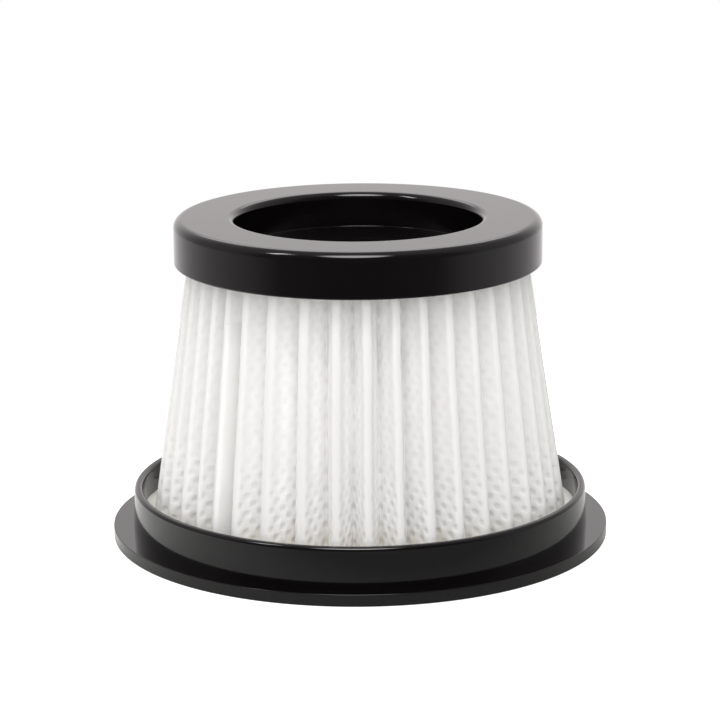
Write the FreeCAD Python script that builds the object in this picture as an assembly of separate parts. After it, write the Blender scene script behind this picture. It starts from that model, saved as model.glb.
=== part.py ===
"""Conical pleated filter cartridge for a vacuum cleaner.

Millimetres, +Z up, origin at the centre of the flange underside, front of the cartridge toward -Y.
"""

import math
import os

import FreeCAD
import Part

# Overall sizes
TOTAL_HEIGHT = 63.5
FLANGE_DIA = 98.0
RIM_DIA = 89.4
CAP_DIA = 71.8

# Base ring: flange, upright rim and inner collar
FLANGE_THICK = 2.4
FLANGE_ROUND = 0.4
RIM_TOP = 10.0
RIM_WALL = 1.65
RIM_ROUND = 0.7
COLLAR_TOP = 7.0
COLLAR_WALL = 1.4

# End cap: skirt, top ring and blind recess
CAP_HEIGHT = 8.8
SKIRT_WALL = 1.4
TOP_PLATE = 1.5
SHOULDER_ROUND = 1.7
LIP_ROUND = 1.4
RECESS_DIA = 48.0
RECESS_DEPTH = 6.9
RECESS_CORNER_ROUND = 0.6
POT_WALL = 1.1
POT_FLOOR = 1.4

# Flats that make up a broad round and a small edge round on the mouldings
BROAD_FLAT_COUNT = 3
EDGE_FLAT_COUNT = 1

# Filter strip: folded cloth, its mid-line round at the outer folds and tight in the valleys
PLEAT_COUNT = 40
CLOTH_THICK = 0.6
CREST_ROUND = 0.95
CREST_FLAT_COUNT = 4
VALLEY_FLAT_COUNT = 2
FRONT_FOLD_DEG = 2.5

# Hand setting of the folds: they crowd at the seam and spread beside it
CROWD_DEG = 4.5
CROWD_CENTRE_DEG = -33.0
CROWD_WIDTH_DEG = 16.0

# Seam: the two cut ends of the strip meet on one panel under a band of adhesive
SEAM_DEG = -45.0
SEAM_GAP = 0.2
SEAM_BAND_MARGIN = 1.5
SEAM_BAND_THICK = 0.35
SEAM_BAND_BOTTOM = 6.5
SEAM_BAND_TOP = 47.5

# Adhesive beds that hold the pleat ends
BASE_BED = 1.5
CAP_BED = 4.0

# Clearances from the crests and the valley lines of the strip to the walls beside them
CREST_TO_RIM = 2.05
CREST_TO_SKIRT = 1.75
VALLEY_TO_POT = 0.15
VALLEY_TO_COLLAR = 0.15

# Levels
CAP_EDGE = TOTAL_HEIGHT - CAP_HEIGHT
CHANNEL_CEILING = TOTAL_HEIGHT - TOP_PLATE
RECESS_FLOOR = TOTAL_HEIGHT - RECESS_DEPTH
POT_UNDERSIDE = RECESS_FLOOR - POT_FLOOR
STRIP_FOOT = FLANGE_THICK + BASE_BED
STRIP_HEAD = CHANNEL_CEILING - CAP_BED

# Radii of the mouldings and of the strip's mid-line; every level of that line is a scaled copy of its foot
FLANGE_R = FLANGE_DIA / 2
RIM_OUT_R = RIM_DIA / 2
RIM_IN_R = RIM_OUT_R - RIM_WALL
CAP_R = CAP_DIA / 2
SKIRT_IN_R = CAP_R - SKIRT_WALL
RECESS_R = RECESS_DIA / 2
POT_R = RECESS_R + POT_WALL
CREST_FOOT_R = RIM_IN_R - CREST_TO_RIM - CLOTH_THICK / 2
CREST_HEAD_R = SKIRT_IN_R - CREST_TO_SKIRT - CLOTH_THICK / 2
HEAD_SCALE = CREST_HEAD_R / CREST_FOOT_R
VALLEY_FOOT_R = (POT_R + VALLEY_TO_POT) / HEAD_SCALE


def level_scale(z):
    """Size of the folded strip at height z against its size at the foot."""
    return 1.0 + (HEAD_SCALE - 1.0) * (z - STRIP_FOOT) / (STRIP_HEAD - STRIP_FOOT)


COLLAR_OUT_R = VALLEY_FOOT_R * level_scale(COLLAR_TOP) - VALLEY_TO_COLLAR
OUTLET_R = COLLAR_OUT_R - COLLAR_WALL

# Even spacing of the folds, and the outer fold nearest the seam
PITCH_DEG = 360.0 / PLEAT_COUNT
SEAM_FOLD = round((SEAM_DEG - FRONT_FOLD_DEG) / PITCH_DEG)


def vec(x, y, z=0.0):
    """Point or direction."""
    return FreeCAD.Vector(x, y, z)


def fan(first, last, flats):
    """Radius vectors of equal length that turn from first to last in equal steps."""
    sweep = first.getAngle(last)
    turns = [i * sweep / flats for i in range(flats + 1)]
    return [(first * math.sin(sweep - t) + last * math.sin(t)) * (1 / math.sin(sweep)) for t in turns]


def corner(before, here, after, round_r, flats):
    """Points of one rounded corner of an outline, from one tangent point to the other."""
    a = (before - here).normalize()
    b = (after - here).normalize()
    half = a.getAngle(b) / 2
    centre = here + (a + b).normalize() * (round_r / math.sin(half))
    reach = round_r / math.tan(half)
    return [centre + spoke for spoke in fan(here + a * reach - centre, here + b * reach - centre, flats)]


def turned(corners):
    """Solid of revolution about Z from (radius, height[, round, flats]) corners."""
    sharp = [vec(c[0], 0, c[1]) for c in corners]
    outline = []
    for i, c in enumerate(corners):
        if len(c) == 2:
            outline.append(sharp[i])
        else:
            outline += corner(sharp[i - 1], sharp[i], sharp[(i + 1) % len(sharp)], c[2], c[3])
    face = Part.Face(Part.makePolygon(outline + outline[:1]))
    return face.revolve(vec(0, 0, 0), vec(0, 0, 1), 360)


def base_ring():
    """Flange, rim and collar as one moulding."""
    return turned([
        (OUTLET_R, 0, FLANGE_ROUND, EDGE_FLAT_COUNT),
        (FLANGE_R, 0, FLANGE_ROUND, EDGE_FLAT_COUNT),
        (FLANGE_R, FLANGE_THICK, FLANGE_ROUND, EDGE_FLAT_COUNT),
        (RIM_OUT_R, FLANGE_THICK),
        (RIM_OUT_R, RIM_TOP, RIM_ROUND, EDGE_FLAT_COUNT),
        (RIM_IN_R, RIM_TOP, RIM_ROUND, EDGE_FLAT_COUNT),
        (RIM_IN_R, FLANGE_THICK),
        (COLLAR_OUT_R, FLANGE_THICK),
        (COLLAR_OUT_R, COLLAR_TOP),
        (OUTLET_R, COLLAR_TOP, FLANGE_ROUND, EDGE_FLAT_COUNT),
    ])


def end_cap():
    """Skirt, top ring and blind recess as one moulding."""
    return turned([
        (0, POT_UNDERSIDE),
        (POT_R, POT_UNDERSIDE),
        (POT_R, CHANNEL_CEILING),
        (SKIRT_IN_R, CHANNEL_CEILING),
        (SKIRT_IN_R, CAP_EDGE),
        (CAP_R, CAP_EDGE),
        (CAP_R, TOTAL_HEIGHT, SHOULDER_ROUND, BROAD_FLAT_COUNT),
        (RECESS_R, TOTAL_HEIGHT, LIP_ROUND, BROAD_FLAT_COUNT),
        (RECESS_R, RECESS_FLOOR, RECESS_CORNER_ROUND, EDGE_FLAT_COUNT),
        (0, RECESS_FLOOR),
    ])


def base_potting():
    """Adhesive bed between collar and rim, under the foot of the pleats."""
    return turned([
        (COLLAR_OUT_R, FLANGE_THICK),
        (RIM_IN_R, FLANGE_THICK),
        (RIM_IN_R, STRIP_FOOT),
        (COLLAR_OUT_R, STRIP_FOOT),
    ])


def cap_potting():
    """Adhesive bed in the channel of the end cap, over the head of the pleats."""
    return turned([
        (POT_R, STRIP_HEAD),
        (SKIRT_IN_R, STRIP_HEAD),
        (SKIRT_IN_R, CHANNEL_CEILING),
        (POT_R, CHANNEL_CEILING),
    ])


def is_tip(fold):
    """Whether a fold stands outward; whole numbers do, halves are valleys."""
    return float(fold).is_integer()


def fold_line(fold, z):
    """Centre of the round at an outer fold, or corner of the strip's mid-line at a valley, at height z."""
    even = FRONT_FOLD_DEG + fold * PITCH_DEG
    off = (even - CROWD_CENTRE_DEG + 180.0) % 360.0 - 180.0
    angle = math.radians(even - CROWD_DEG * math.exp(-(off / CROWD_WIDTH_DEG) ** 2))
    radius = (CREST_FOOT_R - CREST_ROUND if is_tip(fold) else VALLEY_FOOT_R) * level_scale(z)
    return vec(radius * math.sin(angle), -radius * math.cos(angle), z)


def panel(fold):
    """Direction and outward normal of the flat panel that follows a fold, the same at every height.

    The panel runs from the valley corner and touches the round of the outer fold.
    """
    span = fold_line(fold + 0.5, STRIP_FOOT) - fold_line(fold, STRIP_FOOT)
    lean = CREST_ROUND / span.Length
    span.normalize()
    side = 1.0 if is_tip(fold) else -1.0
    normal = span * (side * lean) + vec(span.y, -span.x) * math.sqrt(1 - lean * lean)
    return vec(-normal.y, normal.x), normal


def fold_points(fold, z, outer):
    """Where one face of the strip turns at a fold: round at an outer fold, a tight corner inside a valley."""
    before = panel(fold - 0.5)[1]
    after = panel(fold)[1]
    side = 1.0 if outer else -1.0
    if is_tip(fold):
        reach = CREST_ROUND * level_scale(z) + side * CLOTH_THICK / 2
        return [fold_line(fold, z) + spoke for spoke in fan(before * reach, after * reach, CREST_FLAT_COUNT)]
    inside = fold_line(fold, z) + (before + after) * (CLOTH_THICK / 2 / (1 + before.dot(after)))
    if outer:
        return [inside]
    return [inside - spoke for spoke in fan(before * CLOTH_THICK, after * CLOTH_THICK, VALLEY_FLAT_COUNT)]


def seam_point(z, end, outer):
    """Corner of a cut end of the strip: end is 1 where the strip starts and -1 where it stops."""
    along, normal = panel(SEAM_FOLD)
    touch = fold_line(SEAM_FOLD, z) + normal * (CREST_ROUND * level_scale(z))
    middle = (touch + fold_line(SEAM_FOLD + 0.5, z)) * 0.5
    side = 1.0 if outer else -1.0
    return middle + along * (end * SEAM_GAP / 2) + normal * (side * CLOTH_THICK / 2)


def strip_side(z, outer):
    """Points along one face of the strip at height z, from one cut end round to the other."""
    points = [seam_point(z, 1, outer)]
    for step in range(1, 2 * PLEAT_COUNT + 1):
        points += fold_points(SEAM_FOLD + step / 2, z, outer)
    return points + [seam_point(z, -1, outer)]


def between(foot, head):
    """Solid with flat sides between two outlines that match point for point."""
    faces = [Part.Face(Part.makePolygon(outline + outline[:1])) for outline in (foot, head)]
    for i in range(len(foot)):
        side = [foot[i - 1], foot[i], head[i], head[i - 1], foot[i - 1]]
        faces.append(Part.Face(Part.makePolygon(side)))
    skin = Part.Compound(faces)
    skin.sewShape()
    return Part.Solid(skin.Shells[0])


def pleated_media():
    """The folded strip, from its foot in the base ring to its head in the end cap."""
    levels = [strip_side(z, True) + strip_side(z, False)[::-1] for z in (STRIP_FOOT, STRIP_HEAD)]
    return between(*levels)


def band_section(z):
    """Corners of the seam band at height z, on the outside of the seam panel from its crest toward the valley."""
    along, normal = panel(SEAM_FOLD)
    centre = fold_line(SEAM_FOLD, z)
    under = fold_points(SEAM_FOLD, z, True)[CREST_FLAT_COUNT // 2:]
    over = [p + (p - centre).normalize() * SEAM_BAND_THICK for p in under]
    far = fold_points(SEAM_FOLD + 0.5, z, True)[0] - along * SEAM_BAND_MARGIN
    return under + [far, far + normal * SEAM_BAND_THICK] + over[::-1]


def seam_strip():
    """Band of adhesive over the two cut ends of the strip."""
    return between(band_section(SEAM_BAND_BOTTOM), band_section(SEAM_BAND_TOP))


PIECES = {
    "base_ring": base_ring,
    "end_cap": end_cap,
    "pleated_media": pleated_media,
    "seam_strip": seam_strip,
    "base_potting": base_potting,
    "cap_potting": cap_potting,
}

os.makedirs("parts", exist_ok=True)
for name, make in PIECES.items():
    make().exportStep("parts/%s.step" % name)
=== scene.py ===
"""Dressed scene of a conical pleated filter cartridge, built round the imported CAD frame.

Sizes of the cartridge are millimetres and degrees. Meshes and the studio are in metres. The front of the
cartridge looks toward -Y, and an azimuth is counted from the front, positive toward +X.
"""

import logging
import math
from dataclasses import dataclass
from enum import Enum
from typing import Any

import bmesh
import bpy
from mathutils import Matrix, Vector, noise

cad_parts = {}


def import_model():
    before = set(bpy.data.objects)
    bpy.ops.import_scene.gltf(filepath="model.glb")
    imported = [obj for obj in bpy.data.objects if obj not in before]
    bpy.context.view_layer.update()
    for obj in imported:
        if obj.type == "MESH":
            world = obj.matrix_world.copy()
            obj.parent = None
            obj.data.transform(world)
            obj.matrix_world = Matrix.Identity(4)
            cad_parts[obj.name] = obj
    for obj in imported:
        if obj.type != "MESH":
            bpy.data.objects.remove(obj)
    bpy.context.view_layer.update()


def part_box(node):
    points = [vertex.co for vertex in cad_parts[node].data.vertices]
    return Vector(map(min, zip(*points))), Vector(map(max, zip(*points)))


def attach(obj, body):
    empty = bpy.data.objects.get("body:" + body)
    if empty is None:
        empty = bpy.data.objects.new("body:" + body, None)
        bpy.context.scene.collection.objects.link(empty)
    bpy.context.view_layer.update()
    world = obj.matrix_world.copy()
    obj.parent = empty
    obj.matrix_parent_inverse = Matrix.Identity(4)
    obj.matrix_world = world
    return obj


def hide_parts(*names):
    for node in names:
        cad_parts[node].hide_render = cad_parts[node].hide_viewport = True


LOG = logging.getLogger("filter_cartridge")
MM = 0.001
BODY = "root"
# Socket that an input of a node tree gets, by the type of its value
SOCKETS = {int: "NodeSocketInt", float: "NodeSocketFloat", bpy.types.Material: "NodeSocketMaterial"}

Colour = tuple[float, float, float, float]


class Node(Enum):
    """CAD nodes that the pieces of this scene stand for."""

    BASE_RING = "base_ring"
    END_CAP = "end_cap"
    PLEATED_MEDIA = "pleated_media"
    SEAM_STRIP = "seam_strip"
    BASE_POTTING = "base_potting"
    CAP_POTTING = "cap_potting"


class Slot(Enum):
    """Names for the material slots."""

    PLASTIC = "black_plastic"
    CLOTH = "filter_cloth"
    ADHESIVE = "adhesive"


class Mark(Enum):
    """Attributes that the cloth carries for its finish, one of them its painted shade over the crests."""

    EMBOSS = "emboss_grid"
    CREST = "fold_crest"


def linear(code: str) -> Colour:
    """Turn an sRGB hex colour to linear RGBA.

    Args:
        code: Six hex digits, with or without a leading hash.

    Returns:
        Linear red, green and blue, with full alpha.
    """
    digits = code.lstrip("#")
    parts = [int(digits[i:i + 2], 16) / 255 for i in (0, 2, 4)]
    red, green, blue = [c / 12.92 if c <= 0.04045 else ((c + 0.055) / 1.055) ** 2.4 for c in parts]
    return (red, green, blue, 1.0)


def add_node(tree: bpy.types.NodeTree, kind: str, feeds: dict[Any, Any] | None = None,
             **settings: Any) -> Any:
    """Add one node with its settings, and set or link its inputs.

    Args:
        tree: Node tree that takes the node.
        kind: Blender's name of the node type.
        feeds: Input name or place, with a value, a socket that feeds it, or a list of sockets.
        **settings: Attributes of the node.

    Returns:
        The new node.
    """
    node = tree.nodes.new(kind)
    for name, value in settings.items():
        setattr(node, name, value)
    for key, value in (feeds or {}).items():
        for item in value if isinstance(value, list) else [value]:
            if isinstance(item, bpy.types.NodeSocket):
                tree.links.new(item, node.inputs[key])
            else:
                node.inputs[key].default_value = item
    return node


def new_material(name: str) -> tuple[bpy.types.Material, bpy.types.NodeTree]:
    """Start an empty node material.

    Args:
        name: What the real material is.

    Returns:
        The material and its node tree.
    """
    material = bpy.data.materials.new(name)
    material.use_nodes = True
    material.node_tree.nodes.clear()
    return material, material.node_tree


def new_piece(name: str, mesh: bpy.types.Mesh, *finishes: bpy.types.Material) -> bpy.types.Object:
    """Put a mesh into the scene as an object at the origin.

    Args:
        name: Name of the piece.
        mesh: Its mesh, already in place.
        *finishes: Materials that the mesh has still to get.

    Returns:
        The object.
    """
    for finish in finishes:
        mesh.materials.append(finish)
    piece = bpy.data.objects.new(name, mesh)
    bpy.context.scene.collection.objects.link(piece)
    return piece


def enter(piece: bpy.types.Object, node: Node) -> bpy.types.Object:
    """Hang a piece on the cartridge's body and hide the CAD node that it stands for.

    Args:
        piece: The piece, which rides on the cartridge's one body.
        node: CAD node that it stands for.

    Returns:
        The same piece.
    """
    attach(piece, BODY)
    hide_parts(node.value)
    return piece


def smooth_mesh(form: bmesh.types.BMesh, name: str, sharp_deg: float) -> bpy.types.Mesh:
    """Turn a closed form into a mesh with smooth faces that point outward.

    Args:
        form: The form, which is used up.
        name: Name of the mesh.
        sharp_deg: Edges that turn more than this stay sharp.

    Returns:
        The mesh.
    """
    bmesh.ops.recalc_face_normals(form, faces=form.faces)
    mesh = bpy.data.meshes.new(name)
    form.to_mesh(mesh)
    form.free()
    mesh.shade_smooth()
    mesh.set_sharp_from_angle(angle=math.radians(sharp_deg))
    return mesh


@dataclass(frozen=True)
class Corner:
    """Corner of a turned outline: radius, height, the round on it and the steps of that round.

    A point stands on the straight just beside each end of a round, so that a flat stays flat to the eye.
    """

    radius: float
    height: float
    rounding: float = 0.0
    steps: int = 6
    beside: float = 0.12

    def place(self) -> Vector:
        """Sharp corner as a point of the outline."""
        return Vector((self.radius, self.height))

    def points(self, before: "Corner", after: "Corner") -> list[Vector]:
        """Points of the outline at this corner, from one tangent point to the other.

        Args:
            before: Corner that the outline comes from.
            after: Corner that it goes to.

        Returns:
            The corner itself, or the arc that rounds it.
        """
        here = self.place()
        if not self.rounding:
            return [here]
        back = (before.place() - here).normalized()
        ahead = (after.place() - here).normalized()
        half = back.angle(ahead) / 2
        centre = here + (back + ahead).normalized() * (self.rounding / math.sin(half))
        first = here + back * (self.rounding / math.tan(half)) - centre
        last = here + ahead * (self.rounding / math.tan(half)) - centre
        sweep = first.angle(last)
        turns = [sweep * i / self.steps for i in range(self.steps + 1)]
        spokes = [(first * math.sin(sweep - t) + last * math.sin(t)) / math.sin(sweep) for t in turns]
        arc = [centre + spoke for spoke in spokes]
        return [arc[0] + back * self.beside] + arc + [arc[-1] + ahead * self.beside]


def turned_mesh(name: str, corners: list[Corner], segments: int, sharp_deg: float = 32.0) -> bpy.types.Mesh:
    """Turn a closed outline about the cartridge axis.

    Args:
        name: Name of the mesh.
        corners: Corners of the outline, in order.
        segments: Steps round the axis.
        sharp_deg: Edges that turn more than this stay sharp.

    Returns:
        A closed mesh with smooth faces that point outward.
    """
    outline: list[Vector] = []
    for i, corner in enumerate(corners):
        outline += corner.points(corners[i - 1], corners[(i + 1) % len(corners)])
    form = bmesh.new()
    rings: list[list[bmesh.types.BMVert]] = []
    for radius, height in outline:
        count = segments if radius > 0 else 1
        angles = [2 * math.pi * i / count for i in range(count)]
        rings.append([form.verts.new((radius * MM * math.sin(a), -radius * MM * math.cos(a), height * MM))
                      for a in angles])
    for i, ring in enumerate(rings):
        following = rings[(i + 1) % len(rings)]
        if len(ring) == 1 and len(following) == 1:
            continue
        for k in range(segments):
            loop = [ring[k % len(ring)], ring[(k + 1) % len(ring)],
                    following[(k + 1) % len(following)], following[k % len(following)]]
            form.faces.new(list(dict.fromkeys(loop)))
    return smooth_mesh(form, name, sharp_deg)


@dataclass(frozen=True)
class MouldedPlastic:
    """Black ABS from a polished mould: a deep, wet-looking black with crisp reflections of the studio.

    The eye reads it by its mirror-like flats, with the faint long ripple that a moulded skin has.
    """

    colour: str = "#080607"
    ior: float = 1.5
    roughness: float = 0.11
    roughness_swing: float = 0.05
    ripple_mm: float = 6.0
    ripple_height_mm: float = 0.006
    haze_mm: float = 1.6
    haze_levels: tuple[float, float] = (0.3, 0.7)

    def make(self) -> bpy.types.Material:
        """Build the material.

        Returns:
            Glossy black plastic with a faint ripple and slight changes of gloss.
        """
        material, tree = new_material("moulded_black_abs")
        place = add_node(tree, "ShaderNodeTexCoord").outputs["Object"]
        haze = add_node(tree, "ShaderNodeTexNoise",
                        {"Vector": place, "Scale": 1 / (self.haze_mm * MM), "Detail": 3.0})
        gloss = add_node(tree, "ShaderNodeMapRange",
                         {"Value": haze.outputs[0],
                          "From Min": self.haze_levels[0], "From Max": self.haze_levels[1],
                          "To Min": self.roughness - self.roughness_swing / 2,
                          "To Max": self.roughness + self.roughness_swing / 2})
        ripple = add_node(tree, "ShaderNodeTexNoise",
                          {"Vector": place, "Scale": 1 / (self.ripple_mm * MM), "Detail": 1.0})
        bump = add_node(tree, "ShaderNodeBump",
                        {"Height": ripple.outputs[0], "Strength": 1.0,
                         "Distance": self.ripple_height_mm * MM})
        shader = add_node(tree, "ShaderNodeBsdfPrincipled",
                          {"Base Color": linear(self.colour), "IOR": self.ior,
                           "Roughness": gloss.outputs[0], "Normal": bump.outputs[0]})
        add_node(tree, "ShaderNodeOutputMaterial", {"Surface": shader.outputs[0]})
        return material


@dataclass(frozen=True)
class EmbossedNonwoven:
    """Spunbond polyester filter cloth, bonded by a grid of hot points: a soft, slightly see-through white.

    The eye reads it by its matt fibres, the darker pressed points, whose tint is partly painted shade, and
    the light that thin folds let through. Over its crests it carries painted shade.
    """

    colour: str = "#FDFCFB"
    thin_colour: str = "#F6F5F4"
    # Tint of the pressed points: partly their own tone, partly painted shade of the dimples, stronger toward
    # the foot
    point_tone_and_shade_colour: str = "#DEDDDA"
    point_depth_mm: float = 0.22
    point_flatness: float = 0.5
    point_levels: tuple[float, float] = (-0.6, 0.95)
    # Painted shade over the crests, fading toward the valleys
    crest_painted_shade_colour: str = "#DEDDDB"
    soaked_colour: str = "#F6F3EC"
    soaked_mm: tuple[float, float] = (11.5, 5.0)
    roughness: float = 0.86
    ior: float = 1.45
    see_through: float = 0.2
    see_through_mm: float = 0.7
    see_through_tint: tuple[float, float, float] = (1.0, 0.99, 0.97)
    sheen: float = 0.05
    fibre_mm: float = 0.32
    fibre_height_mm: float = 0.03
    cloud_mm: float = 2.4
    cloud_levels: tuple[float, float] = (0.3, 0.6)

    def make(self) -> bpy.types.Material:
        """Build the material.

        Returns:
            Matt white cloth with fibres, uneven fibre density, pressed points tinted partly by painted
            shade, and painted shade over the crests.
        """
        material, tree = new_material("embossed_spunbond_cloth")
        place = add_node(tree, "ShaderNodeTexCoord").outputs["Object"]
        # Fibres are some 0.02 mm thick, so they are drawn as clumps coarse enough to show
        fibre = add_node(tree, "ShaderNodeTexNoise",
                         {"Vector": place, "Scale": 1 / (self.fibre_mm * MM), "Detail": 3.0,
                          "Roughness": 0.65})
        cloud = add_node(tree, "ShaderNodeTexNoise",
                         {"Vector": place, "Scale": 1 / (self.cloud_mm * MM), "Detail": 4.0,
                          "Roughness": 0.6})
        density = add_node(tree, "ShaderNodeMapRange",
                           {"Value": cloud.outputs[0],
                            "From Min": self.cloud_levels[0], "From Max": self.cloud_levels[1]})
        # The grid attribute holds the phase of the emboss across and up the cloth, and its strength
        marks = add_node(tree, "ShaderNodeAttribute", attribute_name=Mark.EMBOSS.value)
        grid = add_node(tree, "ShaderNodeSeparateXYZ", {0: marks.outputs["Vector"]})
        swings = [add_node(tree, "ShaderNodeMath", {0: grid.outputs[i]}, operation="COSINE").outputs[0]
                  for i in (0, 1)]
        quilt = add_node(tree, "ShaderNodeMath", {0: swings[0], 1: swings[1]}, operation="MULTIPLY")
        # A point is wider than it is tall, so its upper and lower ends are cut away
        ends = add_node(tree, "ShaderNodeMath", {0: swings[1], 1: swings[1], 2: -1.0},
                        operation="MULTIPLY_ADD")
        level = add_node(tree, "ShaderNodeMath",
                         {0: ends.outputs[0], 1: self.point_flatness, 2: quilt.outputs[0]},
                         operation="MULTIPLY_ADD")
        dot = add_node(tree, "ShaderNodeMapRange",
                       {"Value": level.outputs[0],
                        "From Min": self.point_levels[0], "From Max": self.point_levels[1]},
                       interpolation_type="SMOOTHSTEP")
        # Pressed points, as strong as the emboss at each place; their tint is partly painted shade of the
        # dimples
        pressed = add_node(tree, "ShaderNodeMath", {0: dot.outputs[0], 1: grid.outputs[2]},
                           operation="MULTIPLY")
        # Adhesive has soaked unevenly up the foot of the folds
        height = add_node(tree, "ShaderNodeSeparateXYZ", {0: place})
        ragged = add_node(tree, "ShaderNodeMath",
                          {0: cloud.outputs[0], 1: 2 * self.cloud_mm * MM, 2: height.outputs[2]},
                          operation="MULTIPLY_ADD")
        soaked = add_node(tree, "ShaderNodeMapRange",
                          {"Value": ragged.outputs[0],
                           "From Min": (self.soaked_mm[0] + self.cloud_mm) * MM,
                           "From Max": (self.soaked_mm[1] + self.cloud_mm) * MM},
                          interpolation_type="SMOOTHSTEP")
        # Painted shade: the cloth is darkened over each crest, where the most light falls, and the shade
        # fades out toward the valley
        crest = add_node(tree, "ShaderNodeAttribute", attribute_name=Mark.CREST.value)
        tone: Any = linear(self.thin_colour)
        for share, colour in ((density.outputs[0], self.colour), (pressed.outputs[0], self.point_tone_and_shade_colour),
                              (soaked.outputs[0], self.soaked_colour),
                              (crest.outputs["Fac"], self.crest_painted_shade_colour)):
            tone = add_node(tree, "ShaderNodeMix", {0: share, 6: tone, 7: linear(colour)},
                            data_type="RGBA").outputs[2]
        hollow = add_node(tree, "ShaderNodeBump",
                          {"Height": pressed.outputs[0], "Strength": 1.0,
                           "Distance": self.point_depth_mm * MM}, invert=True)
        bump = add_node(tree, "ShaderNodeBump",
                        {"Height": fibre.outputs[0], "Strength": 1.0,
                         "Distance": self.fibre_height_mm * MM, "Normal": hollow.outputs[0]})
        shader = add_node(tree, "ShaderNodeBsdfPrincipled",
                          {"Base Color": tone, "Roughness": self.roughness, "IOR": self.ior,
                           "Subsurface Weight": self.see_through,
                           "Subsurface Radius": self.see_through_tint,
                           "Subsurface Scale": self.see_through_mm * MM,
                           "Sheen Weight": self.sheen, "Normal": bump.outputs[0]})
        add_node(tree, "ShaderNodeOutputMaterial", {"Surface": shader.outputs[0]})
        return material


@dataclass(frozen=True)
class SetHotMelt:
    """Hot-melt adhesive, poured and set: a waxy cream with a low sheen and soft lumps where it froze."""

    name: str = "set_hot_melt_adhesive"
    colour: str = "#FCFAF6"
    deep_colour: str = "#F3F0E8"
    roughness: float = 0.42
    ior: float = 1.48
    see_through: float = 0.3
    see_through_mm: float = 1.2
    see_through_tint: tuple[float, float, float] = (1.0, 0.95, 0.85)
    lump_mm: float = 3.5
    lump_height_mm: float = 0.12

    def make(self) -> bpy.types.Material:
        """Build the material.

        Returns:
            Waxy cream adhesive with soft lumps.
        """
        material, tree = new_material(self.name)
        place = add_node(tree, "ShaderNodeTexCoord").outputs["Object"]
        lump = add_node(tree, "ShaderNodeTexNoise",
                        {"Vector": place, "Scale": 1 / (self.lump_mm * MM), "Detail": 2.0})
        tint = add_node(tree, "ShaderNodeMix", {0: lump.outputs[0], 6: linear(self.deep_colour),
                                                7: linear(self.colour)}, data_type="RGBA")
        bump = add_node(tree, "ShaderNodeBump",
                        {"Height": lump.outputs[0], "Strength": 1.0, "Distance": self.lump_height_mm * MM})
        shader = add_node(tree, "ShaderNodeBsdfPrincipled",
                          {"Base Color": tint.outputs[2], "Roughness": self.roughness, "IOR": self.ior,
                           "Subsurface Weight": self.see_through,
                           "Subsurface Radius": self.see_through_tint,
                           "Subsurface Scale": self.see_through_mm * MM, "Normal": bump.outputs[0]})
        add_node(tree, "ShaderNodeOutputMaterial", {"Surface": shader.outputs[0]})
        return material


@dataclass
class EndCap:
    """Closed cap at the narrow end: skirt, flat top ring and blind recess in one moulding."""

    radius: float
    edge: float
    top: float
    skirt_wall: float = 1.4
    plate: float = 1.5
    shoulder_round: float = 1.7
    lip_round: float = 1.4
    recess_radius: float = 24.0
    recess_depth: float = 6.9
    recess_corner_round: float = 0.11
    pot_wall: float = 1.1
    pot_floor: float = 1.4
    edge_round: float = 0.25
    edge_steps: int = 4
    broad_steps: int = 12
    segments: int = 224

    @classmethod
    def from_frame(cls) -> "EndCap":
        """Take the outside sizes from the CAD node."""
        low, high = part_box(Node.END_CAP.value)
        return cls(radius=high[0] / MM, edge=low[2] / MM, top=high[2] / MM)

    def outline(self) -> list[Corner]:
        """Half section of the cap.

        Returns:
            Its corners, from the underside of its pot round to the recess floor.
        """
        floor = self.top - self.recess_depth
        pot = self.recess_radius + self.pot_wall
        skirt = self.radius - self.skirt_wall
        return [
            Corner(0, floor - self.pot_floor),
            Corner(pot, floor - self.pot_floor, self.edge_round, self.edge_steps),
            Corner(pot, self.top - self.plate),
            Corner(skirt, self.top - self.plate),
            Corner(skirt, self.edge, self.edge_round, self.edge_steps),
            Corner(self.radius, self.edge, self.edge_round, self.edge_steps),
            Corner(self.radius, self.top, self.shoulder_round, self.broad_steps),
            Corner(self.recess_radius, self.top, self.lip_round, self.broad_steps),
            Corner(self.recess_radius, floor, self.recess_corner_round),
            Corner(0, floor),
        ]

    def build(self, plastic: bpy.types.Material) -> bpy.types.Object:
        """Make the cap and dress it.

        Args:
            plastic: Finish of the moulding.

        Returns:
            The cap.
        """
        mesh = turned_mesh("cap_moulding", self.outline(), self.segments)
        return enter(new_piece("cap_moulding", mesh, plastic), Node.END_CAP)


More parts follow.
